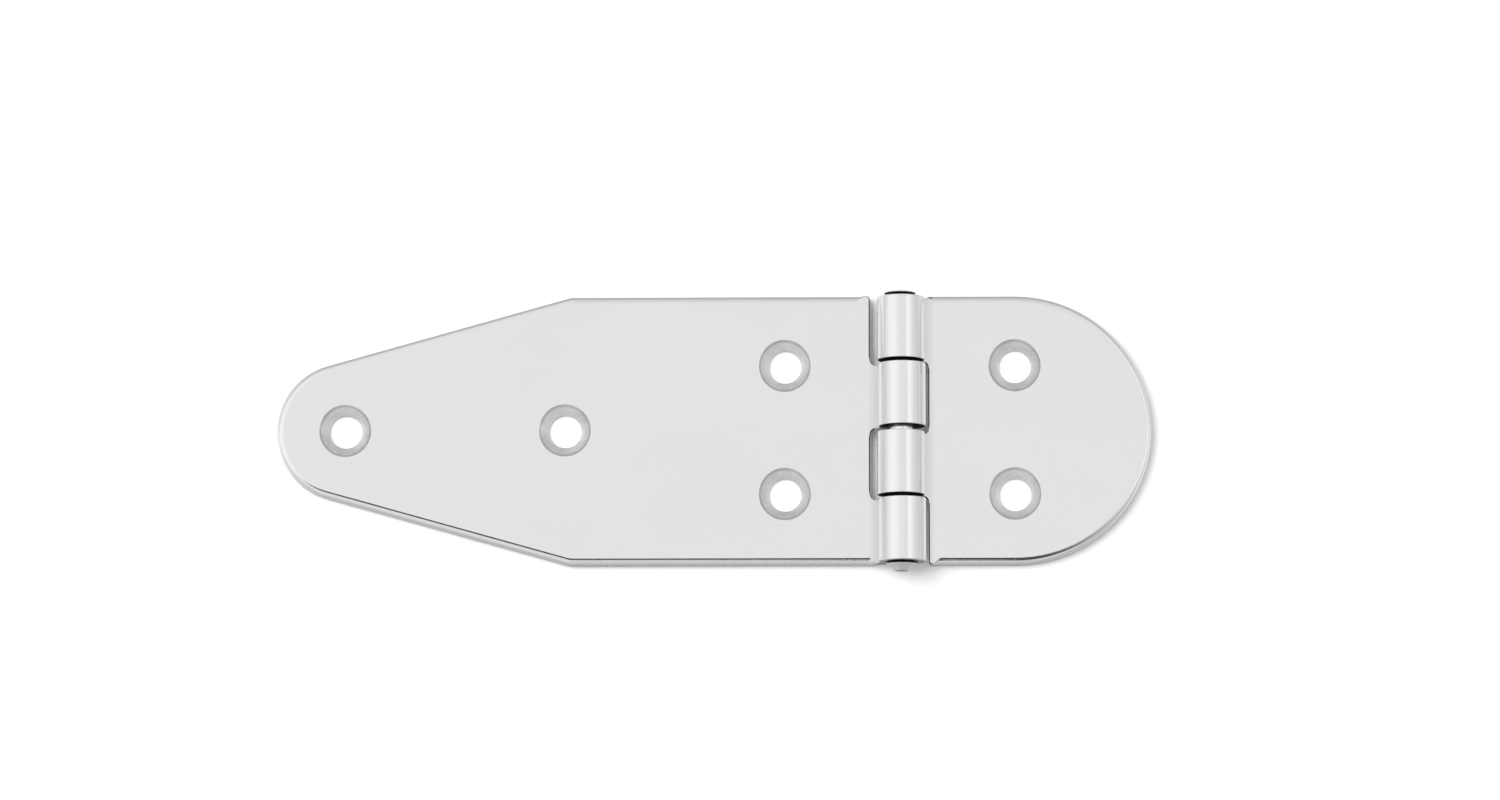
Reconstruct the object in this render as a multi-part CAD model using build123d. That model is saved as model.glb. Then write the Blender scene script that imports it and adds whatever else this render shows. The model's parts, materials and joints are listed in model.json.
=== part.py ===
from build123d import *

import math
import os

# A surface-mounted strap hinge in polished stainless sheet. A long tapered leaf lies along -X and a
# round-ended leaf along +X. Each leaf has two knuckles, rolled out of its own sheet round one pin
# that runs along Y. The origin is under the pin's axis, halfway across the hinge, on the mounting
# plane (Z = 0). +Z points away from the surface that the hinge is screwed to. Sizes are in mm.

# Sheet and barrel
SHEET = 1.8
WIDTH = 42.0
BARREL_RADIUS = 3.65
BORE_RADIUS = BARREL_RADIUS - SHEET
BARREL_BULGE = 0.1  # how far a curl's outside stands away from its own leaf
CURL_END_ANGLE = 207.5  # where the rolled sheet ends, just clear of its own leaf's face
KNUCKLE_LENGTH = 9.8
KNUCKLE_PITCH = WIDTH / 4
ROOT_X = 3.6  # the leaf's outer edge ends here, under the curl
ROOT_RAMP = 1.0  # length of the slope from the leaf's edge in to the knuckle's end

# Long tapered leaf
TIP_X = 86.0
TIP_RADIUS = 10.8
SHOULDER_X = 51.2
SHOULDER_ROUND = 3.0
STRAP_NOTCH_X = 4.88
STRAP_NOTCH_ROUND = 1.0
STRAP_KNUCKLE_SHIFT = -0.1  # end play, along Y
STRAP_PAIR_X = 18.0
STRAP_MIDDLE_X = 52.0

# Short round-ended leaf
SHORT_PAIR_X = 17.5
SHORT_NOTCH_X = 4.15
SHORT_NOTCH_ROUND = 0.8
SHORT_KNUCKLE_SHIFT = 0.27  # end play, along the leaf's own Y

# Countersunk screw holes
PAIR_PITCH = 20.0
HOLE_RADIUS = 2.5
SINK_RADIUS = 4.05
SINK_DEPTH = SINK_RADIUS - HOLE_RADIUS  # a 90 degree countersink

# Edge rounding
FACE_ROUND = 1.0
BACK_ROUND = 0.3
RIM_ROUND = 0.25

# Pin
PIN_RADIUS = 1.8
HEAD_GAP = 0.1
HEAD_RADIUS = 2.55
HEAD_SIDE = 0.42
HEAD_DOME = 0.3
PEEN_NECK = 0.3
PEEN_RADIUS = 2.4
PEEN_TIP_RADIUS = 1.05
PEEN_HEIGHT = 1.15

MARGIN = 1.0  # how far cutting tools run past what they cut


def knuckle_centres(shift):
    """Places along Y of a leaf's two knuckles, in the leaf's own frame, where the leaf lies along -X."""
    return (KNUCKLE_PITCH / 2 + shift, -3 * KNUCKLE_PITCH / 2 + shift)


def strap_outline(end_y):
    """The long leaf's blank up to its root: a round tip, two straight tapers and parallel sides."""
    run = math.hypot(TIP_X - SHOULDER_X, WIDTH / 2)
    taper = math.atan2(WIDTH / 2, TIP_X - SHOULDER_X) - math.asin(TIP_RADIUS / run)
    tangent_x = -TIP_X - TIP_RADIUS * math.sin(taper)
    tangent_y = TIP_RADIUS * math.cos(taper)
    with BuildSketch() as blank:
        with BuildLine():
            Polyline((-ROOT_X, WIDTH / 2), (-SHOULDER_X, WIDTH / 2), (tangent_x, tangent_y))
            ThreePointArc((tangent_x, tangent_y), (-TIP_X - TIP_RADIUS, 0), (tangent_x, -tangent_y))
            Polyline((tangent_x, -tangent_y), (-SHOULDER_X, -WIDTH / 2), *root_points(end_y))
        make_face()
        fillet(blank.vertices().filter_by(lambda v: abs(v.X + SHOULDER_X) < MARGIN), SHOULDER_ROUND)
    return blank.sketch


def short_outline(end_y):
    """The short leaf's blank up to its root: a half-round end, concentric with its pair of holes."""
    with BuildSketch() as blank:
        with BuildLine():
            Line((-ROOT_X, WIDTH / 2), (-SHORT_PAIR_X, WIDTH / 2))
            ThreePointArc(
                (-SHORT_PAIR_X, WIDTH / 2),
                (-SHORT_PAIR_X - WIDTH / 2, 0),
                (-SHORT_PAIR_X, -WIDTH / 2),
            )
            Polyline((-SHORT_PAIR_X, -WIDTH / 2), *root_points(end_y))
        make_face()
    return blank.sketch


def root_points(end_y):
    """The last points of a blank: the slope in to the outer knuckle's end, and the closing side."""
    return (
        (-ROOT_X - ROOT_RAMP, -WIDTH / 2),
        (-ROOT_X, end_y),
        (-ROOT_X, WIDTH / 2),
    )


def rounded_plate(outline):
    """The flat part of a leaf, its front edge rolled over and its back edge eased, except at the root."""
    plate = extrude(outline, SHEET)
    front = plate.edges().group_by(Axis.Z)[-1].sort_by(Axis.X)[:-1]
    plate = fillet(front, FACE_ROUND)
    back = plate.edges().group_by(Axis.Z)[0].sort_by(Axis.X)[:-1]
    return fillet(back, BACK_ROUND)


def gap_cutter(low_y, high_y, notch_x, corner_round):
    """The space that the other leaf's knuckle turns in, with rounded inner corners."""
    length = notch_x + MARGIN
    box = Box(length, high_y - low_y, SHEET + 2 * MARGIN)
    box = Pos((MARGIN - notch_x) / 2, (low_y + high_y) / 2, SHEET / 2) * box
    corners = box.edges().filter_by(Axis.Z).filter_by(lambda e: e.center().X < 0)
    return fillet(corners, corner_round)


def curl(centre_y):
    """One knuckle: the sheet leaves its leaf flat, and rolls up and over the pin to the leaf's face."""
    end = math.radians(CURL_END_ANGLE)
    outer_end = (
        BARREL_BULGE + BARREL_RADIUS * math.cos(end),
        BARREL_RADIUS + BARREL_RADIUS * math.sin(end),
    )
    inner_end = (BORE_RADIUS * math.cos(end), BARREL_RADIUS + BORE_RADIUS * math.sin(end))
    flat_x = -ROOT_X - ROOT_RAMP
    with BuildSketch(Plane.XZ) as section:
        with BuildLine():
            Line((flat_x, 0), (BARREL_BULGE, 0))
            ThreePointArc((BARREL_BULGE, 0), (BARREL_BULGE, 2 * BARREL_RADIUS), outer_end)
            Line(outer_end, inner_end)
            ThreePointArc(inner_end, (0, BARREL_RADIUS + BORE_RADIUS), (0, SHEET))
            Line((0, SHEET), (flat_x, SHEET))
            Line((flat_x, SHEET), (flat_x, 0))
        make_face()
    knuckle = extrude(section.sketch, KNUCKLE_LENGTH / 2, both=True)
    rims = knuckle.edges().filter_by(GeomType.CIRCLE)
    rims = rims.filter_by(lambda e: e.radius > (BORE_RADIUS + BARREL_RADIUS) / 2)
    return Pos(0, centre_y, 0) * fillet(rims, RIM_ROUND)


def countersunk_hole(x, y):
    """The cutter for one screw hole: a straight hole, and a 90 degree cone open to the front."""
    shank = Pos(x, y, SHEET / 2) * Cylinder(HOLE_RADIUS, SHEET + 2 * MARGIN)
    cone_height = SINK_DEPTH + MARGIN
    cone = Cone(HOLE_RADIUS, SINK_RADIUS + MARGIN, cone_height)
    return shank + Pos(x, y, SHEET - SINK_DEPTH + cone_height / 2) * cone


def make_leaf(outline, shift, notch_x, notch_round, hole_centres):
    """One leaf in its own frame, where it lies along -X: blank, notches, knuckles, screw holes."""
    inner_y, outer_y = knuckle_centres(shift)
    half = KNUCKLE_LENGTH / 2
    leaf = rounded_plate(outline(outer_y - half))
    leaf -= gap_cutter(inner_y + half, WIDTH / 2 + MARGIN, notch_x, notch_round)
    leaf -= gap_cutter(outer_y + half, inner_y - half, notch_x, notch_round)
    for centre_y in (inner_y, outer_y):
        leaf += curl(centre_y)
    for x, y in hole_centres:
        leaf -= countersunk_hole(x, y)
    return leaf


def make_pin(low_y, high_y):
    """The pin: a low formed head past high_y, and a cone peened over past low_y."""
    head_y = high_y + HEAD_GAP
    dome_y = head_y + HEAD_SIDE + HEAD_DOME
    peen_y = low_y - PEEN_NECK
    with BuildSketch() as half_section:
        with BuildLine():
            Polyline(
                (0, peen_y - PEEN_HEIGHT),
                (PEEN_TIP_RADIUS, peen_y - PEEN_HEIGHT),
                (PEEN_RADIUS, peen_y),
                (PIN_RADIUS, peen_y),
                (PIN_RADIUS, head_y),
                (HEAD_RADIUS, head_y),
                (HEAD_RADIUS, head_y + HEAD_SIDE),
            )
            TangentArc((0, dome_y), (HEAD_RADIUS, head_y + HEAD_SIDE), tangent=(1, 0))
            Line((0, dome_y), (0, peen_y - PEEN_HEIGHT))
        make_face()
    return Pos(0, 0, BARREL_RADIUS) * revolve(half_section.sketch, Axis.Y)


strap_holes = [
    (-TIP_X, 0),
    (-STRAP_MIDDLE_X, 0),
    (-STRAP_PAIR_X, PAIR_PITCH / 2),
    (-STRAP_PAIR_X, -PAIR_PITCH / 2),
]
short_holes = [(-SHORT_PAIR_X, PAIR_PITCH / 2), (-SHORT_PAIR_X, -PAIR_PITCH / 2)]

strap_leaf = make_leaf(
    strap_outline, STRAP_KNUCKLE_SHIFT, STRAP_NOTCH_X, STRAP_NOTCH_ROUND, strap_holes
)
short_leaf = Rot(0, 0, 180) * make_leaf(
    short_outline, SHORT_KNUCKLE_SHIFT, SHORT_NOTCH_X, SHORT_NOTCH_ROUND, short_holes
)
hinge_pin = make_pin(
    knuckle_centres(STRAP_KNUCKLE_SHIFT)[1] - KNUCKLE_LENGTH / 2,
    -knuckle_centres(SHORT_KNUCKLE_SHIFT)[1] + KNUCKLE_LENGTH / 2,
)

os.makedirs("parts", exist_ok=True)
export_step(strap_leaf, "parts/strap_leaf.step")
export_step(short_leaf, "parts/short_leaf.step")
export_step(hinge_pin, "parts/hinge_pin.step")
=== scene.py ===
import json
import math
from types import SimpleNamespace

import bpy
import numpy as np
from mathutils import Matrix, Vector, geometry


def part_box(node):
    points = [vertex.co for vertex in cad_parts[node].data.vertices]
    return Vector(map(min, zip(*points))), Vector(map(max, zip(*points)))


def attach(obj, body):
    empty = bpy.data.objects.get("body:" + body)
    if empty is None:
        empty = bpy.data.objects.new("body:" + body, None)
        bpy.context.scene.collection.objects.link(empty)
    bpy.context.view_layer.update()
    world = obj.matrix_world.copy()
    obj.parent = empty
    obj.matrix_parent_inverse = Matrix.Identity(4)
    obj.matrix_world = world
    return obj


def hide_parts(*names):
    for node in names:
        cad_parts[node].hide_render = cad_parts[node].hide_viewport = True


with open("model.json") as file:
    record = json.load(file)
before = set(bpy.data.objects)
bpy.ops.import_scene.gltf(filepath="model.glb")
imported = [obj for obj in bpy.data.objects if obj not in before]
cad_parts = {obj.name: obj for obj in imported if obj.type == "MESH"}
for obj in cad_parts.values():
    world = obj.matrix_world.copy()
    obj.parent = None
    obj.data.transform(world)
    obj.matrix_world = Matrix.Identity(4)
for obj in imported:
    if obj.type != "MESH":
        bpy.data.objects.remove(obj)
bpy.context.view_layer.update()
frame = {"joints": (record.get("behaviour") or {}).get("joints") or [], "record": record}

# A polished stainless strap hinge, lying on its back. Lengths in this script are millimetres in the
# CAD frame until a mesh is made, and MM turns them into metres. Each leaf is built as the flat blank
# that it is cut from, with its rolled-over rim, notches and countersinks, and its knuckle strips are
# then rolled round the pin, so that the sheet, its rims and its polish run on into the barrel.
MM = 0.001

mounts = {mount["name"]: mount for mount in frame["record"]["mounts"]}
fold = frame["joints"][0]
strap_low, strap_high = (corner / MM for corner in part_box("strap_leaf"))
short_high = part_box("short_leaf")[1] / MM
pin_low, pin_high = (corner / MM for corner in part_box("hinge_pin"))

# Sheet and barrel
AXIS_Z = fold["pos_m"][2] / MM
HALF_WIDTH = strap_high.y
SHEET = 1.8
BORE_RADIUS = AXIS_Z - SHEET
BEND_RADIUS = (AXIS_Z + BORE_RADIUS) / 2
BULGE = strap_high.x - AXIS_Z  # how far a curl's outside stands away from its own leaf
BULGE_LEAD = 2.0
CURL_TURN = math.radians(297.5)
CURL_LENGTH = CURL_TURN * BEND_RADIUS
KNUCKLE_LENGTH = 9.8
KNUCKLE_PITCH = HALF_WIDTH / 2
ROOT_X = 3.6
ROOT_RAMP = 1.0

# Outlines
TIP_RADIUS = 10.8
SHOULDER_X = 51.2
SHOULDER_ROUND = 3.0
STRAP_NOTCH_X = 4.88
STRAP_NOTCH_ROUND = 1.0
STRAP_SHIFT = -0.1
SHORT_NOTCH_X = 4.15
SHORT_NOTCH_ROUND = 0.8
SHORT_SHIFT = 0.27
MOUTH_ROUND = 0.6
RAMP_ROUNDS = (1.5, 1.0)
CUT_ROUND = 0.2

# Edge rounding, as (front, back) radii of the sheet's two faces
RIM_EDGE = (1.3, 0.3)
NOTCH_EDGE = (0.3, 0.15)
KNUCKLE_EDGE = (0.12, 0.12)
CUT_EDGE = (0.1, 0.12)
END_ROUND = 0.75  # front rounding at the tight end of the short leaf
EDGE_CHANGE = 1.25  # length along the outline over which a small rounding grows to the rim's
FACE_FLATTEN = 0.9  # height of the front rounding over its width
HOLD = 0.03  # width of the flat strip that keeps a face's shading flat up to its rounding
TIGHT_TURN = math.radians(30)  # an outside corner that turns further limits its edge's rounding
TIGHT_SHARE = 0.9  # to this share of the corner's radius

# Countersunk holes
HOLE_RADIUS = mounts["strap_tip_screws"]["dims"]["hole_r_mm"]
SINK_RADIUS = 4.05
SINK_SLOPE = math.radians(45)
SINK_ROUND = 0.25
BORE_EDGE_ROUND = 0.08

# Pin. Each profile is (radius, distance from that end of the pin).
PIN_RADIUS = 1.8
CONE = [(0.4, 0.0), (0.95, 0.02), (1.16, 0.1), (1.3, 0.24), (2.2, 0.88), (2.37, 1.0), (2.4, 1.07)]
NECK = [(2.3, 1.14), (1.95, 1.17), (PIN_RADIUS, 1.3)]
HEAD = [(1.8, 0.74), (2.1, 0.54), (2.42, 0.22), (2.47, 0.15), (2.38, 0.09), (1.9, 0.04), (0.5, 0.0)]
SHAFT_INSETS = (1.5, 1.0)
HEAD_ASIDE = -0.2
HEAD_NECK = (0.8, 0.4)  # distances from the head's end between which it moves aside
FLATS = ((0.35, 0.1), (1.3, 0.14), (-0.75, 0.12), (2.4, 0.08), (-1.9, 0.13), (3.4, 0.1))  # turn, depth
FLATS_TO = 1.12  # height up the cone that hammering reached
FLATS_FROM = 0.9  # radius that it started from
BURR_TURN = 1.2
BURR_WIDTH = 0.16
BURR_HEIGHT = 0.2

# Mesh fineness
ARC_STEP = math.radians(4)
SMALL_ARC_STEP = math.radians(12)
SMALL_RADIUS = 5.0
CURL_STEP = math.radians(3)
LEAD_STEPS = 8
EDGE_STEP = 2.0
FINE_STEP = 0.2
FINE_TO = 8.0  # distance from the pin that is stepped finely
STOP_MARGIN = 0.02
SAME_PLACE = 1e-6
FRONT_STEPS = 12
BACK_STEPS = 5
HOLE_SEGMENTS = 128
SINK_STEPS = 8
BORE_STEPS = 3
PIN_SEGMENTS = 96
CONE_STEPS = 3
SHAFT_ROWS = 24
WITHIN_EDGES = 1  # Blender's triangulation keeps only what its edges enclose

# What a point's marks say: on the mill-finished back, in a countersink, distance from the hole's axis,
# how far round the edge, on a long side, and on the side wall of a strip or in a notch
MARKS = ("mill", "sink", "reach", "edge", "side", "wall")
WALL_ROWS = (BACK_STEPS + 1, BACK_STEPS + 2)  # rows of the sheet's edge that bound its straight wall
SIDE_FACING = (0.35, 0.85)  # how far an edge faces along Y, from an end to a long side
NOTCH_FACING = 0.3
NOTCH_WALL = (0.35, 0.75)  # how far round a notch's edge its wall's mark reaches

# Steel. A pair is a middle value and how far it varies either way.
TINT = (1.002, 1.008)  # green and blue over red
POLISHED_TONE = (0.8, 0.012)
# Painted highlight: a brighter tone on the barrel's sides
FLANK_HIGHLIGHT_TONE = 0.94
MILL_TONE = (0.62, 0.1)
RIM_TONE = (0.76, 0.06)
# Painted highlight: a brighter tone on the rounding round the leaves' ends
RIM_END_HIGHLIGHT_TONE = (0.88, 0.03)
SINK_TONE = (0.84, 0.16)
WALL_TONE = 0.6
# Painted shade: the notches' walls are darkened where shade falls in the notches
NOTCH_SHADE_TONE = (0.12, 0.06)
# Painted shade: near black steel in the gaps, the bores and the crevices by the pin
GAP_SHADE_TONE = (0.03, 0.02)
# Painted shade on the sheet's face next to the barrel
ROOT_SHADE = 0.16
# Darkens a ring at a countersink's lip
LIP_DARKENING = 0.28
POLISHED_ROUGHNESS = (0.12, 0.04)
LOW_FLANK_ROUGHNESS = 0.16
SCRATCH_ROUGHNESS = 0.1
MILL_ROUGHNESS = (0.36, 0.14)
RIM_ROUGHNESS = (0.3, 0.08)
SINK_ROUGHNESS = (0.3, 0.08)
WALL_ROUGHNESS = 0.35
NOTCH_ROUGHNESS = 0.5
GAP_SHADE_ROUGHNESS = 0.6
HAMMERED_TONE = (0.68, 0.12)
HAMMERED_ROUGHNESS = (0.3, 0.1)
RUBBED_TONE = (0.9, 0.08)
RUBBED_ROUGHNESS = 0.18

# Heights of the steel's texture in micrometres, and the pitch of a countersink's turning marks
POLISH_LINES = 0.5
MILL_LINES = 2.0
SCRATCH_DEPTH = 0.3
RIM_DENTS = 6.0
SINK_CHATTER = 4.0
SINK_MARK = 0.12

# Stage, in metres
FLOOR_HALF = 3.0
FLOOR_Z = -0.00003
FLOOR_WHITE = 0.9
FLOOR_ROUGHNESS = 0.9
CAMERA_PLACE = (-0.0013, -0.1356, 0.9007)
CAMERA_TURN = (8.869, 1.408, 0.061)
CAMERA_LENS = 141.34
CAMERA_SENSOR = 36
CAMERA_FAR = 10
KEY_PLACE = (-0.8, 0.33, 0.9)
KEY_SIZE = 1.3
KEY_POWER = 15.8

# The studio's brightness by direction, as (degrees from overhead, level). Sideways runs from -X to +X,
# and lengthways from +Y, behind the part, to -Y, in front of it.
SKY_STRENGTH = 0.96
LEVEL_SCALE = 1.5  # the brightest level that a curve can hold
SIDEWAYS = [
    (-90, 0.95), (-78, 1.00), (-70, 1.01), (-60, 1.11), (-50, 1.15), (-34, 1.15), (-20, 1.085), (-9, 1.01),
    (-5, 0.995), (4, 0.985), (9, 0.965), (23, 0.965), (26, 0.99), (29.5, 1.17), (40, 1.15), (45, 1.11),
    (50, 1.04), (60, 0.93), (72, 0.87), (84, 0.91), (90, 0.91),
]
LENGTHWAYS = [
    (-90, 0.64), (-83, 0.68), (-68, 0.80), (-53, 0.885), (-39, 0.94), (-25, 0.985), (-15, 1.0), (7, 1.0),
    (40, 0.83), (58, 0.79), (74, 0.70), (90, 0.66),
]

# The dark gap in front, in degrees: where it starts, and where its left and right halves end, to the
# front and to the side
GAP_START = (8, 13)
GAP_LEFT = ((25, 34), (40, 62))
GAP_RIGHT = ((42, 56), (5, 92))
GAP_DARK = 0.05
GAP_MIDDLE = 0.01  # half the width over which one half changes into the other

# Levels below the horizon, by the way a direction faces, and the dark straight down
BELOW_ENDS = 0.58
BELOW_LEFT = 1.1
BELOW_RIGHT = 0.93
BELOW_SIDES = 0.3
BELOW_DARK = 0.15
STRAIGHT_DOWN = (-0.93, -0.975)
HORIZON = (0.0, -0.03)


def unit(vector):
    return vector / np.linalg.norm(vector)


def left_of(direction):
    return np.array((-direction[1], direction[0]))


def smooth_step(value):
    value = np.clip(value, 0, 1)
    return value * value * (3 - 2 * value)


def rise(value, low, high):
    """0 below low and 1 above high, with soft ends."""
    return smooth_step((value - low) / (high - low))


def straight_stops(start, end):
    """Points between two corners. A side along X is cut at the same places on both sides of a strip."""
    if abs(end[1] - start[1]) < SAME_PLACE:
        rolled = np.arange(0, CURL_LENGTH, CURL_STEP * BEND_RADIUS)
        lead = np.arange(-BULGE_LEAD, 0, BULGE_LEAD / LEAD_STEPS)
        root = -np.arange(ROOT_X + ROOT_RAMP, FINE_TO, FINE_STEP)
        flat = -np.arange(FINE_TO, -strap_low.x, EDGE_STEP)
        grid = np.concatenate((flat, root, lead, rolled))
        low, high = sorted((start[0], end[0]))
        stops = grid[(grid > low + STOP_MARGIN) & (grid < high - STOP_MARGIN)]
        stops = np.sort(stops) if end[0] > start[0] else -np.sort(-stops)
        return [np.array((x, start[1])) for x in stops]
    step = FINE_STEP if start[0] > -FINE_TO else EDGE_STEP
    count = max(1, math.ceil(np.linalg.norm(end - start) / step))
    return [start + (end - start) * k / count for k in range(1, count)]


def corner_arcs(corners):
    """For each corner: the directions before and after it, its turn, and its arc's start and end."""
    places = [np.array(corner[:2], float) for corner in corners]
    arcs = []
    for i, corner in enumerate(corners):
        before = unit(places[i] - places[i - 1])
        after = unit(places[(i + 1) % len(corners)] - places[i])
        turn = math.atan2(before[0] * after[1] - before[1] * after[0], before @ after)
        reach = corner[2] * math.tan(abs(turn) / 2)
        arcs.append((before, after, turn, places[i] - before * reach, places[i] + after * reach))
    return arcs


def edge_rounding(points, caps):
    """The front and back rounding at each point: the rim's, or less near a point with a smaller cap."""
    along = np.concatenate(([0], np.cumsum(np.linalg.norm(np.diff(points, axis=0), axis=1))))
    whole = along[-1] + np.linalg.norm(points[0] - points[-1])
    gap = np.abs(along[:, None] - along[None, :])
    gap = np.minimum(gap, whole - gap)
    growth = smooth_step(gap / EDGE_CHANGE)[:, :, None]
    rounds = (caps[None, :, :] + growth * (np.array(RIM_EDGE) - caps[None, :, :])).min(axis=1)
    return rounds[:, 0], rounds[:, 1]


def outline(corners):
    """A closed outline from its corners, each (x, y, corner radius, rounding of the side that follows).
    Returns the points, the inward directions, and the front and back rounding at each point."""
    points, inward, caps = [], [], []
    arcs = corner_arcs(corners)
    for i, (before, after, turn, start, end) in enumerate(arcs):
        radius, rounding = corners[i][2:]
        side = math.copysign(1, turn)
        centre = start + side * radius * left_of(before)
        step = ARC_STEP if radius > SMALL_RADIUS else SMALL_ARC_STEP
        steps = max(2, math.ceil(abs(turn) / step))
        limit = TIGHT_SHARE * radius if turn > TIGHT_TURN else math.inf
        corner_cap = np.minimum(np.minimum(corners[i - 1][3], rounding), limit)
        for k in range(steps + 1):
            angle = turn * k / steps
            ahead = before * math.cos(angle) + left_of(before) * math.sin(angle)
            points.append(centre - side * radius * left_of(ahead))
            inward.append(left_of(ahead))
            caps.append(corner_cap)
        for stop in straight_stops(end, arcs[(i + 1) % len(arcs)][3]):
            points.append(stop)
            inward.append(left_of(after))
            caps.append(np.array(rounding))
    points, inward, caps = np.array(points), np.array(inward), np.array(caps)
    apart = np.linalg.norm(points - np.roll(points, 1, axis=0), axis=1) > SAME_PLACE
    points, inward = points[apart], inward[apart]
    return points, inward, *edge_rounding(points, caps[apart])


def knuckle_side(shift, notch_x, notch_round):
    """Corners of a blank's hinge side: two strips to roll up, the notch between, and the open notch."""
    half = KNUCKLE_LENGTH / 2
    inner = KNUCKLE_PITCH / 2 + shift
    outer = -3 * KNUCKLE_PITCH / 2 + shift
    return [
        (-ROOT_X - ROOT_RAMP, -HALF_WIDTH, RAMP_ROUNDS[0], RIM_EDGE),
        (-ROOT_X, outer - half, RAMP_ROUNDS[1], KNUCKLE_EDGE),
        (CURL_LENGTH, outer - half, CUT_ROUND, CUT_EDGE),
        (CURL_LENGTH, outer + half, CUT_ROUND, KNUCKLE_EDGE),
        (-notch_x, outer + half, notch_round, NOTCH_EDGE),
        (-notch_x, inner - half, notch_round, KNUCKLE_EDGE),
        (CURL_LENGTH, inner - half, CUT_ROUND, CUT_EDGE),
        (CURL_LENGTH, inner + half, CUT_ROUND, KNUCKLE_EDGE),
        (-notch_x, inner + half, notch_round, NOTCH_EDGE),
        (-notch_x, HALF_WIDTH, MOUTH_ROUND, RIM_EDGE),
    ]


def strap_corners():
    """The long leaf: parallel sides, two shoulders, and tapers that meet in a round tip."""
    tip_x = strap_low.x + TIP_RADIUS
    run = math.hypot(tip_x + SHOULDER_X, HALF_WIDTH)
    taper = math.atan2(HALF_WIDTH, -tip_x - SHOULDER_X) - math.asin(TIP_RADIUS / run)
    apex_x = -SHOULDER_X - HALF_WIDTH / math.tan(taper)
    corners = knuckle_side(STRAP_SHIFT, STRAP_NOTCH_X, STRAP_NOTCH_ROUND)
    corners.append((-SHOULDER_X, HALF_WIDTH, SHOULDER_ROUND, RIM_EDGE))
    corners.append((apex_x, 0, TIP_RADIUS, RIM_EDGE))
    corners.append((-SHOULDER_X, -HALF_WIDTH, SHOULDER_ROUND, RIM_EDGE))
    return corners


def short_corners():
    """The short leaf, in its own frame: its end is one half circle."""
    corners = knuckle_side(SHORT_SHIFT, SHORT_NOTCH_X, SHORT_NOTCH_ROUND)
    corners.append((-short_high.x, HALF_WIDTH, HALF_WIDTH, RIM_EDGE))
    corners.append((-short_high.x, -HALF_WIDTH, HALF_WIDTH, RIM_EDGE))
    return corners


def rim_rows(front, back):
    """The sheet's edge from back face to front face, as rows of (inset, height, edge). Edge runs from
    0 on the front face to 1 on the wall, and is 0 again on the back face."""
    rows = [(back + HOLD, 0 * back, 0.0)]
    for angle in np.linspace(0, math.pi / 2, BACK_STEPS + 1):
        rows.append((back * (1 - math.sin(angle)), back * (1 - math.cos(angle)), 1.0))
    for angle in np.linspace(0, math.pi / 2, FRONT_STEPS + 1):
        height = SHEET - FACE_FLATTEN * front * (1 - math.sin(angle))
        rows.append((front * (1 - math.cos(angle)), height, math.cos(angle)))
    rows.append((front + HOLD, SHEET + 0 * front, 0.0))
    return rows


def hole_rows():
    """A countersunk hole from front face to back face, as (radius, height)."""
    edge = SINK_RADIUS + SINK_ROUND * math.tan(SINK_SLOPE / 2)
    rows = [(edge + HOLD, SHEET)]
    for angle in np.linspace(0, SINK_SLOPE, SINK_STEPS + 1):
        rows.append((edge - SINK_ROUND * math.sin(angle), SHEET - SINK_ROUND * (1 - math.cos(angle))))
    throat = SHEET - SINK_RADIUS + HOLE_RADIUS - BORE_EDGE_ROUND * math.tan(SINK_SLOPE / 2)
    for angle in np.linspace(SINK_SLOPE, math.pi / 2, BORE_STEPS + 1):
        radius = HOLE_RADIUS + BORE_EDGE_ROUND * (1 - math.sin(angle))
        rows.append((radius, throat + BORE_EDGE_ROUND * math.cos(angle)))
    for angle in np.linspace(0, math.pi / 2, BORE_STEPS + 1):
        radius = HOLE_RADIUS + BORE_EDGE_ROUND * (1 - math.cos(angle))
        rows.append((radius, BORE_EDGE_ROUND * (1 - math.sin(angle))))
    rows.append((HOLE_RADIUS + BORE_EDGE_ROUND + HOLD, 0))
    return rows


def strip_crossings(points):
    """Pairs of outline points that face each other across a strip, wherever it is to be rolled."""
    stations = {}
    for i, (x, y) in enumerate(points):
        if x > -SAME_PLACE:
            stations.setdefault(round(x, 4), []).append((y, i))
    pairs = []
    for found in stations.values():
        order = [i for _, i in sorted(found)]
        if len(order) == 4:
            pairs += [(order[0], order[1]), (order[2], order[3])]
    return pairs


def fill(loops, places, crossings):
    """Triangles that fill the first loop outside the others. Loops hold indices into places."""
    used = [index for loop in loops for index in loop]
    local = {index: k for k, index in enumerate(used)}
    edges = [(local[a], local[b]) for loop in loops for a, b in zip(loop, loop[1:] + loop[:1])]
    edges += [(local[a], local[b]) for a, b in crossings]
    flat = [Vector(places[index][:2]) for index in used]
    verts, _, faces, sources, _, _ = geometry.delaunay_2d_cdt(flat, edges, [], WITHIN_EDGES, 1e-7)
    middles = np.array([np.mean([verts[k][:] for k in face], axis=0) for face in faces])
    keep = np.ones(len(faces), bool)
    for loop in loops[1:]:
        keep &= ~inside(middles, places[loop][:, :2])
    return [tuple(used[sources[k][0]] for k in face) for face, kept in zip(faces, keep) if kept]


def inside(points, polygon):
    """Which points lie in a polygon, by counting crossings."""
    result = np.zeros(len(points), bool)
    for a, b in zip(polygon, np.roll(polygon, -1, axis=0)):
        if a[1] == b[1]:
            continue
        spans = (a[1] > points[:, 1]) != (b[1] > points[:, 1])
        cross_x = a[0] + (points[:, 1] - a[1]) * (b[0] - a[0]) / (b[1] - a[1])
        result ^= spans & (points[:, 0] < cross_x)
    return result


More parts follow.
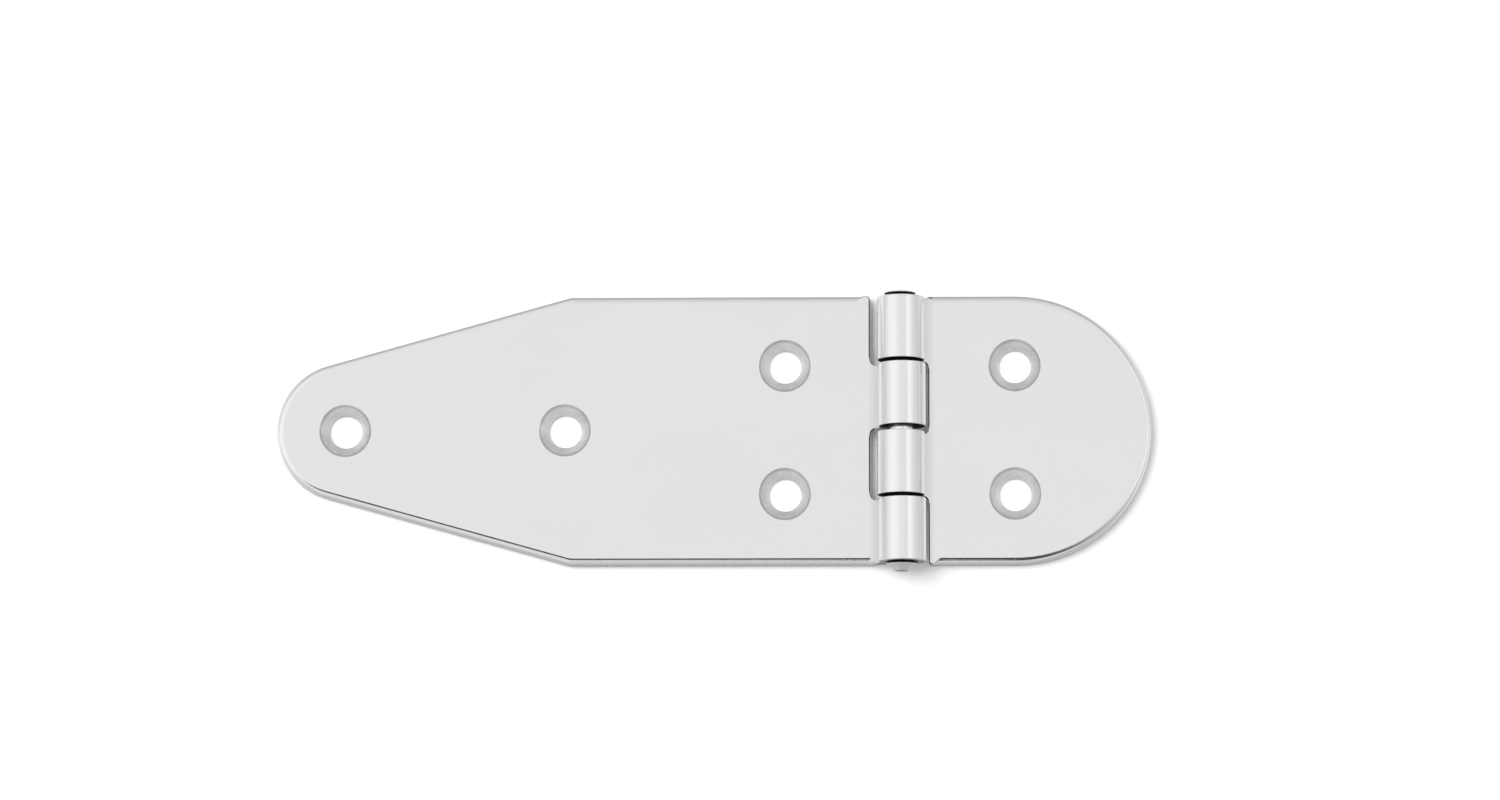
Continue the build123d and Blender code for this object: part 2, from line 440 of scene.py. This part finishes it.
def roll_up(blank):
    """Rolls the strips beyond X = 0 round the pin's axis. Depth 0 is the outside, and 1 the bore."""
    along, across, height = blank.T
    depth = height / SHEET
    turn = np.maximum(along, 0) / BEND_RADIUS
    outer_x = BULGE * smooth_step(1 + along / BULGE_LEAD) + AXIS_Z * np.sin(turn)
    outer_z = AXIS_Z * (1 - np.cos(turn))
    inner_x = BORE_RADIUS * np.sin(turn)
    inner_z = AXIS_Z - BORE_RADIUS * np.cos(turn)
    x = np.minimum(along, 0) + outer_x + (inner_x - outer_x) * depth
    return np.column_stack((x, across, outer_z + (inner_z - outer_z) * depth))


def set_values(mesh, name, kind, values):
    attribute = mesh.attributes.new(name, kind, "POINT")
    key = "vector" if kind == "FLOAT_VECTOR" else "value"
    attribute.data.foreach_set(key, np.asarray(values, np.float32).ravel())


def make_object(name, places, faces):
    mesh = bpy.data.meshes.new(name)
    mesh.from_pydata((places * MM).tolist(), [], faces)
    mesh.validate()
    mesh.shade_smooth()
    made = bpy.data.objects.new(name, mesh)
    bpy.context.scene.collection.objects.link(made)
    return made


def quads_between(low, high):
    """Quads that join two closed rows of points, each row a list of indices."""
    return list(zip(low, low[1:] + low[:1], high[1:] + high[:1], high))


class Sheet:
    """A blank's points and faces, and the marks on each point that the steel's material reads."""

    def __init__(self):
        self.places = np.zeros((0, 3))
        self.marks = np.zeros((0, len(MARKS)))
        self.faces = []

    def add_rows(self, rows, marks):
        """Adds closed rows of points, joined each to the next. Gives the indices of each row."""
        first, count = len(self.places), len(rows[0])
        self.places = np.concatenate([self.places] + rows)
        self.marks = np.concatenate([self.marks] + marks)
        loops = [list(range(first + k * count, first + (k + 1) * count)) for k in range(len(rows))]
        for low, high in zip(loops, loops[1:]):
            self.faces += quads_between(low, high)
        return loops

    def add_rim(self, points, inward, front, back):
        """Adds the sheet's edge, and gives its loops on the back face and on the front face."""
        rows, marks = [], []
        side = rise(np.abs(inward[:, 1]), *SIDE_FACING)
        by_barrel = points[:, 0] > -STRAP_NOTCH_X - STRAP_NOTCH_ROUND
        notch_end = (np.abs(inward[:, 0]) > NOTCH_FACING) & by_barrel
        strip = np.maximum(rise(points[:, 0], -ROOT_X - 0.4, -ROOT_X), notch_end)
        for k, (inset, height, edge) in enumerate(rim_rows(front, back)):
            rows.append(np.column_stack((points + inward * inset[:, None], height)))
            mill = smooth_step(-points[:, 0]) * (k == 0)
            wall = strip * (k in WALL_ROWS)
            if k > WALL_ROWS[1]:
                wall = notch_end * rise(edge, *NOTCH_WALL)
            marks.append(np.column_stack((mill, 0 * side, 0 * side, edge + 0 * side, side, wall)))
        loops = self.add_rows(rows, marks)
        return loops[0], loops[-1]

    def add_hole(self, x, y):
        """Adds a countersunk hole, and gives its loops on the back face and on the front face."""
        rows, marks = [], []
        turns = np.arange(HOLE_SEGMENTS) * math.tau / HOLE_SEGMENTS
        for radius, height in hole_rows():
            ring = (x + radius * np.cos(turns), y + radius * np.sin(turns), height + 0 * turns)
            rows.append(np.column_stack(ring))
            on_back = height <= 0
            in_sink = not on_back and radius < SINK_RADIUS + SINK_ROUND / 4
            mark = (on_back, in_sink, radius, 0, 0, 0)
            marks.append(np.tile(np.array(mark, float), (HOLE_SEGMENTS, 1)))
        loops = self.add_rows(rows, marks)
        return loops[-1], loops[0]


def make_leaf(name, corners, holes, end_round, turned):
    """One leaf's mesh. Its blank is built with the leaf along -X, and turned half round if asked. The
    front rounding narrows to end_round where the outline faces along X."""
    points, inward, front, back = outline(corners)
    front = np.minimum(front, end_round + (RIM_EDGE[0] - end_round) * np.abs(inward[:, 1]))
    sheet = Sheet()
    rims = [sheet.add_rim(points, inward, front, back)]
    rims += [sheet.add_hole(x, y) for x, y in holes]
    pairs = strip_crossings(points)
    for side in (0, 1):
        loops = [rim[side] for rim in rims]
        crossings = [(loops[0][a], loops[0][b]) for a, b in pairs]
        filled = fill(loops, sheet.places, crossings)
        sheet.faces += filled if side else [face[::-1] for face in filled]
    places = roll_up(sheet.places)
    if turned:
        places[:, :2] *= -1
    leaf = make_object(name, places, sheet.faces)
    set_values(leaf.data, "grain", "FLOAT_VECTOR", sheet.places)
    for mark, values in zip(MARKS, sheet.marks.T):
        set_values(leaf.data, mark, "FLOAT", values)
    return leaf


def hole_places(*names):
    """Centres of the screw holes in the record's bolt patterns."""
    found = []
    for name in names:
        x, y, _ = (value / MM for value in mounts[name]["pos_m"])
        half_x = mounts[name]["dims"].get("spacing_x_mm", 0) / 2
        half_y = mounts[name]["dims"].get("spacing_y_mm", 0) / 2
        found += [(x - half_x, y - half_y), (x + half_x, y + half_y)]
    return found


def pin_rows():
    """The pin's rows from -Y to +Y, as (radius, y): hammered cone, neck, shaft, and low formed head."""
    low, high = pin_low.y, pin_high.y
    rows = []
    for (radius, up), (next_radius, next_up) in zip(CONE, CONE[1:]):
        for k in range(CONE_STEPS):
            share = k / CONE_STEPS
            rows.append((radius + (next_radius - radius) * share, low + up + (next_up - up) * share))
    rows += [(radius, low + up) for radius, up in CONE[-1:] + NECK]
    shaft = np.linspace(low + SHAFT_INSETS[0], high - SHAFT_INSETS[1], SHAFT_ROWS)
    rows += [(PIN_RADIUS, y) for y in shaft]
    rows += [(radius, high - down) for radius, down in HEAD]
    return rows


def hammered(radius, y, turns):
    """Radii round one row of the cone, with the flats and the raised burr that hammering left."""
    up = y - pin_low.y
    radii = np.full(len(turns), radius)
    if up > FLATS_TO or radius < FLATS_FROM:
        return radii
    for centre, depth in FLATS:
        facing = np.maximum(np.cos(turns - centre), 0.2)  # a flat never reaches the far side
        radii = np.minimum(radii, (radius - depth * min(1, up * 3)) / facing)
    burr = np.exp(-(((turns - BURR_TURN) / BURR_WIDTH) ** 2))
    return radii + BURR_HEIGHT * rise(up, 0.6, 1.0) * burr


def make_pin():
    """The pin, turned about its axis. Its head is a little off the shaft's axis."""
    rows, faces = [], []
    turns = np.arange(PIN_SEGMENTS) * math.tau / PIN_SEGMENTS
    for radius, y in pin_rows():
        radii = hammered(radius, y, turns)
        aside = HEAD_ASIDE * rise(y, pin_high.y - HEAD_NECK[0], pin_high.y - HEAD_NECK[1])
        places = (aside + radii * np.sin(turns), y + 0 * turns, AXIS_Z + radii * np.cos(turns))
        rows.append(np.column_stack(places))
    loops = np.arange(len(rows) * PIN_SEGMENTS).reshape(len(rows), PIN_SEGMENTS).tolist()
    for low, high in zip(loops, loops[1:]):
        faces += quads_between(low, high)
    faces += [loops[0][::-1], loops[-1]]
    places = np.concatenate(rows)
    pin = make_object("pin_turned", places, faces)
    set_values(pin.data, "grain", "FLOAT_VECTOR", places)
    return pin


class Graph:
    """Builds shader nodes from short calls. Values may be numbers or the sockets of other nodes."""

    def __init__(self, tree):
        self.tree = tree

    def node(self, kind, **settings):
        made = self.tree.nodes.new(kind)
        for name, value in settings.items():
            setattr(made, name, value)
        return made

    def feed(self, socket, value):
        if isinstance(value, bpy.types.NodeSocket):
            self.tree.links.new(value, socket)
        else:
            socket.default_value = value

    def math(self, operation, *values):
        made = self.node("ShaderNodeMath", operation=operation)
        for socket, value in zip(made.inputs, values):
            self.feed(socket, value)
        return made.outputs[0]

    def times(self, first, *others):
        for other in others:
            first = self.math("MULTIPLY", first, other)
        return first

    def plus(self, first, second):
        return self.math("ADD", first, second)

    def add_to(self, base, value, factor):
        """base with value added to it, factor times."""
        return self.math("MULTIPLY_ADD", value, factor, base)

    def split(self, vector):
        made = self.node("ShaderNodeSeparateXYZ")
        self.feed(made.inputs[0], vector)
        return made.outputs

    def mark(self, name, output="Fac"):
        return self.node("ShaderNodeAttribute", attribute_name=name).outputs[output]

    def noise(self, place, scales, detail=2.0, distortion=0.0):
        stretch = self.node("ShaderNodeMapping")
        self.feed(stretch.inputs["Vector"], place)
        stretch.inputs["Scale"].default_value = scales
        made = self.node("ShaderNodeTexNoise")
        self.feed(made.inputs["Vector"], stretch.outputs[0])
        made.inputs["Scale"].default_value = 1.0
        made.inputs["Detail"].default_value = detail
        made.inputs["Distortion"].default_value = distortion
        return made.outputs["Fac"]

    def swing(self, value, middle, width):
        """A 0 to 1 noise value as a number that varies about middle by up to width either way."""
        return self.math("MULTIPLY_ADD", value, 2 * width, middle - width)

    def blend(self, mask, first, second):
        """first where mask is 0, and second where it is 1."""
        made = self.node("ShaderNodeMix", data_type="FLOAT")
        for socket, value in zip(made.inputs[:1] + made.inputs[2:4], (mask, first, second)):
            self.feed(socket, value)
        return made.outputs[0]

    def fade(self, value, low, high):
        """0 below low and 1 above high, or the other way round, with soft ends."""
        made = self.node("ShaderNodeMapRange", interpolation_type="SMOOTHSTEP")
        for name, given in (("Value", value), ("From Min", low), ("From Max", high)):
            self.feed(made.inputs[name], given)
        return made.outputs[0]

    def ramp(self, value, stops):
        """A smooth grey ramp through (place, level) stops, read at value."""
        made = self.node("ShaderNodeFloatCurve")
        curve = made.mapping.curves[0]
        for place, level in stops[1:-1]:
            curve.points.new(place, level)
        for point, (place, level) in zip(curve.points, stops):
            point.location = (place, level)
        made.mapping.extend = "HORIZONTAL"
        made.mapping.update()
        self.feed(made.inputs["Value"], value)
        return made.outputs[0]


def start_metal(name):
    material = bpy.data.materials.new(name)
    material.use_nodes = True
    shader = material.node_tree.nodes["Principled BSDF"]
    shader.inputs["Metallic"].default_value = 1.0
    return material, Graph(material.node_tree), shader


def set_metal(graph, shader, tone, roughness, height):
    """Feeds a nearly neutral tone, a roughness and a height in micrometres to the shader."""
    colour = graph.node("ShaderNodeCombineColor")
    graph.feed(colour.inputs[0], tone)
    graph.feed(colour.inputs[1], graph.times(tone, TINT[0]))
    graph.feed(colour.inputs[2], graph.times(tone, TINT[1]))
    bump = graph.node("ShaderNodeBump")
    bump.inputs["Strength"].default_value = 1.0
    bump.inputs["Distance"].default_value = MM / 1000
    graph.feed(bump.inputs["Height"], height)
    graph.feed(shader.inputs["Base Color"], colour.outputs[0])
    graph.feed(shader.inputs["Roughness"], roughness)
    graph.feed(shader.inputs["Normal"], bump.outputs[0])


def leaf_masks(graph, grain):
    """Where each finish is, from a point's place in the flat blank and from its marks."""
    mill, sink, reach, edge, side, wall = (graph.mark(name) for name in MARKS)
    along, across, height = graph.split(grain)
    off_middle = graph.math("ABSOLUTE", across)
    off_top = graph.math("ABSOLUTE", graph.math("SUBTRACT", along, math.pi * BEND_RADIUS))
    rolled = graph.fade(along, 0.0, 0.6)

    # The barrel's two sides, given a brighter tone as a painted highlight, and a wider stretch that is less
    # well polished
    flank = graph.times(rolled, graph.fade(off_top, 0.98 * BEND_RADIUS, 1.1 * BEND_RADIUS))
    low_flank = graph.times(rolled, graph.fade(off_top, 0.8 * BEND_RADIUS, 1.0 * BEND_RADIUS))

    # Painted shade, near black, in the gaps, in the bores, and near the pin on the barrel's two ends
    outer_end = graph.fade(off_middle, 18.0, 19.0)
    near_pin = graph.fade(height, 1.02, 1.22)
    gap_shade = graph.times(wall, graph.blend(outer_end, 1.0, near_pin))
    bore = graph.times(rolled, graph.fade(height, 1.7, 1.78))
    gap_shade = graph.math("MAXIMUM", gap_shade, bore)

    # The notches' walls, darkened as painted shade, and a painted shade on the face between them and the
    # knuckles
    notch = graph.times(wall, graph.fade(along, -2.8, -3.4), graph.fade(off_middle, 20.5, 20.0))
    root = graph.times(graph.fade(along, -5.4, -3.7), graph.fade(along, 0.0, -0.5))
    root = graph.times(root, graph.fade(height, 1.6, 1.7))

    # The rim's wall on the long sides, its rounding round the ends where a brighter tone paints a
    # highlight, its worn rounding, and a darker ring at a countersink's lip
    rim = graph.times(graph.fade(edge, 0.72, 0.92), side)
    rim_end = graph.times(graph.fade(edge, 0.3, 0.8), graph.math("SUBTRACT", 1.0, side))
    rim_end = graph.times(rim_end, graph.fade(along, -6.0, -9.0))
    worn = graph.fade(edge, 0.02, 0.3)
    lip = graph.times(graph.fade(reach, 3.6, 3.85), graph.fade(reach, 4.1, 3.95))
    return SimpleNamespace(
        mill=mill, sink=sink, reach=reach, wall=wall, flank=flank, low_flank=low_flank, gap_shade=gap_shade,
        notch=notch, root=root, rim=rim, rim_end=rim_end, worn=worn, lip=lip,
    )


def leaf_patterns(graph, grain, reach):
    """Noises whose scales are features per millimetre along, across and through the sheet."""
    fine_lines = graph.noise(grain, (0.09, 4.0, 4.0), 2.0, 0.3)
    return SimpleNamespace(
        cloud=graph.noise(grain, (0.05, 0.07, 0.05), 3.0, 0.6),
        smudge=graph.noise(grain, (0.35, 0.45, 0.35), 4.0, 1.0),
        lines=graph.noise(grain, (0.06, 9.0, 9.0), 3.0),
        scratch=graph.fade(fine_lines, 0.7, 0.78),
        rolling=graph.noise(grain, (0.25, 14.0, 14.0), 4.0),
        chatter=graph.noise(grain, (1.6, 1.6, 1.6), 3.0),
        patch=graph.noise(grain, (0.4, 0.4, 0.4), 2.0, 0.5),
        speckle=graph.noise(grain, (7.0, 7.0, 7.0), 2.0),
        rings=graph.math("SINE", graph.times(reach, math.tau / SINK_MARK)),
    )


def leaf_tone(graph, where, pattern):
    """How bright the steel is: the polish, with each finish, painted shade and painted highlight laid over
    it in turn.
    """
    tone = graph.plus(graph.swing(pattern.cloud, *POLISHED_TONE), graph.swing(pattern.lines, 0, 0.008))
    tone = graph.blend(where.flank, tone, FLANK_HIGHLIGHT_TONE)
    # Painted shade where the face meets the barrel
    tone = graph.times(tone, graph.add_to(1, where.root, -ROOT_SHADE))
    milled = graph.plus(graph.swing(pattern.rolling, *MILL_TONE), graph.swing(pattern.smudge, 0, 0.06))
    tone = graph.blend(where.mill, tone, milled)
    # Painted highlight on the rounding round the ends
    tone = graph.blend(where.rim_end, tone, graph.swing(pattern.chatter, *RIM_END_HIGHLIGHT_TONE))
    tone = graph.blend(where.rim, tone, graph.swing(pattern.chatter, *RIM_TONE))
    turned = graph.plus(graph.swing(pattern.patch, *SINK_TONE), graph.swing(pattern.speckle, 0, 0.04))
    turned = graph.times(turned, graph.add_to(1, where.lip, -LIP_DARKENING))
    tone = graph.blend(where.sink, tone, turned)
    tone = graph.blend(where.wall, tone, WALL_TONE)
    # Painted shade on the notches' walls, then near black in the gaps
    tone = graph.blend(where.notch, tone, graph.swing(pattern.chatter, *NOTCH_SHADE_TONE))
    return graph.blend(where.gap_shade, tone, graph.swing(pattern.chatter, *GAP_SHADE_TONE))


def leaf_roughness(graph, where, pattern):
    """How satin the steel is: the polish with its smudges, and each finish laid over it in turn."""
    smudges = graph.swing(pattern.smudge, *POLISHED_ROUGHNESS)
    rough = graph.plus(smudges, graph.swing(pattern.lines, 0, 0.02))
    rough = graph.add_to(rough, pattern.scratch, SCRATCH_ROUGHNESS)
    rough = graph.add_to(rough, where.low_flank, LOW_FLANK_ROUGHNESS)
    rough = graph.blend(where.mill, rough, graph.swing(pattern.cloud, *MILL_ROUGHNESS))
    rough = graph.blend(where.rim, rough, graph.swing(pattern.chatter, *RIM_ROUGHNESS))
    rough = graph.blend(where.sink, rough, graph.swing(pattern.chatter, *SINK_ROUGHNESS))
    rough = graph.blend(where.wall, rough, WALL_ROUGHNESS)
    rough = graph.blend(where.notch, rough, NOTCH_ROUGHNESS)
    return graph.blend(where.gap_shade, rough, GAP_SHADE_ROUGHNESS)


def leaf_height(graph, where, pattern):
    """The texture's height in micrometres: lines and scratches, a dented rim, and turning marks."""
    polish = graph.times(pattern.lines, POLISH_LINES)
    height = graph.blend(where.mill, polish, graph.times(pattern.rolling, MILL_LINES))
    height = graph.add_to(height, pattern.scratch, -SCRATCH_DEPTH)
    height = graph.plus(height, graph.times(pattern.chatter, where.worn, RIM_DENTS))
    turned = graph.plus(pattern.rings, graph.times(pattern.chatter, SINK_CHATTER))
    return graph.blend(where.sink, height, turned)


def leaf_metal():
    """Polished sheet in front, mill finish behind, satin countersinks, and painted shade in the gaps."""
    material, graph, shader = start_metal("polished_sheet")
    grain = graph.mark("grain", "Vector")
    where = leaf_masks(graph, grain)
    pattern = leaf_patterns(graph, grain, where.reach)
    tone, rough, height = (part(graph, where, pattern) for part in (leaf_tone, leaf_roughness, leaf_height))
    set_metal(graph, shader, tone, rough, height)
    return material


def pin_metal():
    """Drawn rod: bright where the middle gap rubs it, painted near black as shade in the other gaps,
    hammered at its end.
    """
    material, graph, shader = start_metal("drawn_pin")
    grain = graph.mark("grain", "Vector")
    off_middle = graph.math("ABSOLUTE", graph.split(grain)[1])
    # Painted shade on the shaft in the outer gaps and under the knuckles
    gap_shade = graph.times(graph.fade(off_middle, 4.0, 5.0), graph.fade(off_middle, 20.98, 20.92))
    rubbed = graph.fade(off_middle, 1.2, 0.9)
    hammer = graph.noise(grain, (1.4, 1.4, 1.4), 3.0, 0.5)
    fine = graph.noise(grain, (6.0, 6.0, 6.0), 3.0)
    drawn = graph.noise(grain, (4.0, 0.2, 4.0), 3.0)
    tone = graph.plus(graph.swing(hammer, *HAMMERED_TONE), graph.swing(fine, 0, 0.06))
    tone = graph.blend(rubbed, tone, graph.swing(drawn, *RUBBED_TONE))
    tone = graph.blend(gap_shade, tone, graph.swing(fine, *GAP_SHADE_TONE))
    rough = graph.blend(gap_shade, graph.swing(hammer, *HAMMERED_ROUGHNESS), GAP_SHADE_ROUGHNESS)
    rough = graph.blend(rubbed, rough, RUBBED_ROUGHNESS)
    height = graph.add_to(graph.times(fine, 6.0), hammer, 50.0)
    height = graph.blend(rubbed, height, graph.times(drawn, 3.0))
    set_metal(graph, shader, tone, rough, height)
    return material


def make_floor():
    """A pale floor, a hair below the part. Polished metal doesn't show it."""
    mesh = bpy.data.meshes.new("studio_floor")
    signs = ((-1, -1), (1, -1), (1, 1), (-1, 1))
    mesh.from_pydata([(x * FLOOR_HALF, y * FLOOR_HALF, FLOOR_Z) for x, y in signs], [], [(0, 1, 2, 3)])
    floor = bpy.data.objects.new("studio_floor", mesh)
    bpy.context.scene.collection.objects.link(floor)
    material = bpy.data.materials.new("pale_floor")
    material.use_nodes = True
    shader = material.node_tree.nodes["Principled BSDF"]
    shader.inputs["Base Color"].default_value = (FLOOR_WHITE, FLOOR_WHITE, FLOOR_WHITE, 1)
    shader.inputs["Roughness"].default_value = FLOOR_ROUGHNESS
    floor.data.materials.append(material)
    floor.visible_glossy = False


def make_camera():
    camera_data = bpy.data.cameras.new("camera")
    camera_data.lens = CAMERA_LENS
    camera_data.sensor_width = CAMERA_SENSOR
    camera_data.clip_end = CAMERA_FAR
    camera = bpy.data.objects.new("camera", camera_data)
    camera.location = CAMERA_PLACE
    camera.rotation_mode = "ZXY"
    camera.rotation_euler = [math.radians(angle) for angle in CAMERA_TURN]
    bpy.context.scene.collection.objects.link(camera)
    bpy.context.scene.camera = camera


def fade_degrees(graph, angle, limits):
    return graph.fade(angle, *(math.radians(limit) for limit in limits))


def sky_level(graph, x, y, z):
    """An even white studio above. In front, past the camera, its soft boxes leave a dark gap."""
    ahead = graph.times(y, -1)
    side = graph.math("ARCTAN2", x, z)
    front = graph.math("ARCTAN2", ahead, z)
    around = graph.math("ABSOLUTE", graph.math("ARCTAN2", x, ahead))
    level = SKY_STRENGTH * LEVEL_SCALE ** 2
    for angle, stops in ((side, SIDEWAYS), (front, LENGTHWAYS)):
        place = graph.add_to(0.5, angle, 1 / math.pi)
        ramp = graph.ramp(place, [(stop / 180 + 0.5, value / LEVEL_SCALE) for stop, value in stops])
        level = graph.times(ramp, level)
    gaps = []
    for front_end, side_end in (GAP_LEFT, GAP_RIGHT):
        gap = fade_degrees(graph, front, GAP_START)
        gap = graph.times(gap, fade_degrees(graph, front, front_end[::-1]))
        gaps.append(graph.times(gap, fade_degrees(graph, around, side_end[::-1])))
    gap = graph.blend(graph.fade(x, -GAP_MIDDLE, GAP_MIDDLE), *gaps)
    return graph.times(level, graph.add_to(1, gap, GAP_DARK - 1))


def below_level(graph, x, y, z):
    """Below the horizon: darker to the front and rear than to the sides, and dark straight down."""
    square_x, square_y = graph.times(x, x), graph.times(y, y)
    aside = graph.math("DIVIDE", square_x, graph.plus(square_x, square_y))
    level = graph.blend(graph.fade(x, -BELOW_SIDES, BELOW_SIDES), BELOW_LEFT, BELOW_RIGHT)
    level = graph.blend(aside, BELOW_ENDS, level)
    level = graph.blend(graph.fade(z, *STRAIGHT_DOWN), level, BELOW_DARK)
    return graph.times(level, SKY_STRENGTH)


def make_world():
    world = bpy.data.worlds.new("studio")
    bpy.context.scene.world = world
    world.use_nodes = True
    graph = Graph(world.node_tree)
    x, y, z = graph.split(graph.node("ShaderNodeTexCoord").outputs["Generated"])
    above, below = sky_level(graph, x, y, z), below_level(graph, x, y, z)
    background = world.node_tree.nodes["Background"]
    background.inputs["Color"].default_value = (1, 1, 1, 1)
    graph.feed(background.inputs["Strength"], graph.blend(graph.fade(z, *HORIZON), above, below))


def make_key():
    """A soft lamp that lights the floor. Polished metal doesn't show it as a second soft box."""
    lamp_data = bpy.data.lights.new("key", "AREA")
    lamp_data.shape = "DISK"
    lamp_data.size = KEY_SIZE
    lamp_data.energy = KEY_POWER
    lamp = bpy.data.objects.new("key", lamp_data)
    lamp.location = KEY_PLACE
    lamp.rotation_euler = (-Vector(KEY_PLACE)).to_track_quat("-Z", "Y").to_euler()
    lamp.visible_glossy = False
    bpy.context.scene.collection.objects.link(lamp)


steel = leaf_metal()
pin_steel = pin_metal()
strap = make_leaf(
    "strap_leaf_sheet",
    strap_corners(),
    hole_places("strap_tip_screws", "strap_root_screws"),
    RIM_EDGE[0],
    False,
)
short_holes = [(-x, -y) for x, y in hole_places("short_leaf_screws")]
short = make_leaf("short_leaf_sheet", short_corners(), short_holes, END_ROUND, True)
pin = make_pin()
for piece, node, body, slot, material in (
    (strap, "strap_leaf", "strap", "leaf_steel", steel),
    (short, "short_leaf", "short", "leaf_steel", steel),
    (pin, "hinge_pin", "strap", "pin_steel", pin_steel),
):
    piece.data.materials.append(material)
    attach(piece, body)
    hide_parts(node)

make_floor()
make_camera()
make_world()
make_key()
bpy.context.scene.view_settings.view_transform = "Standard"
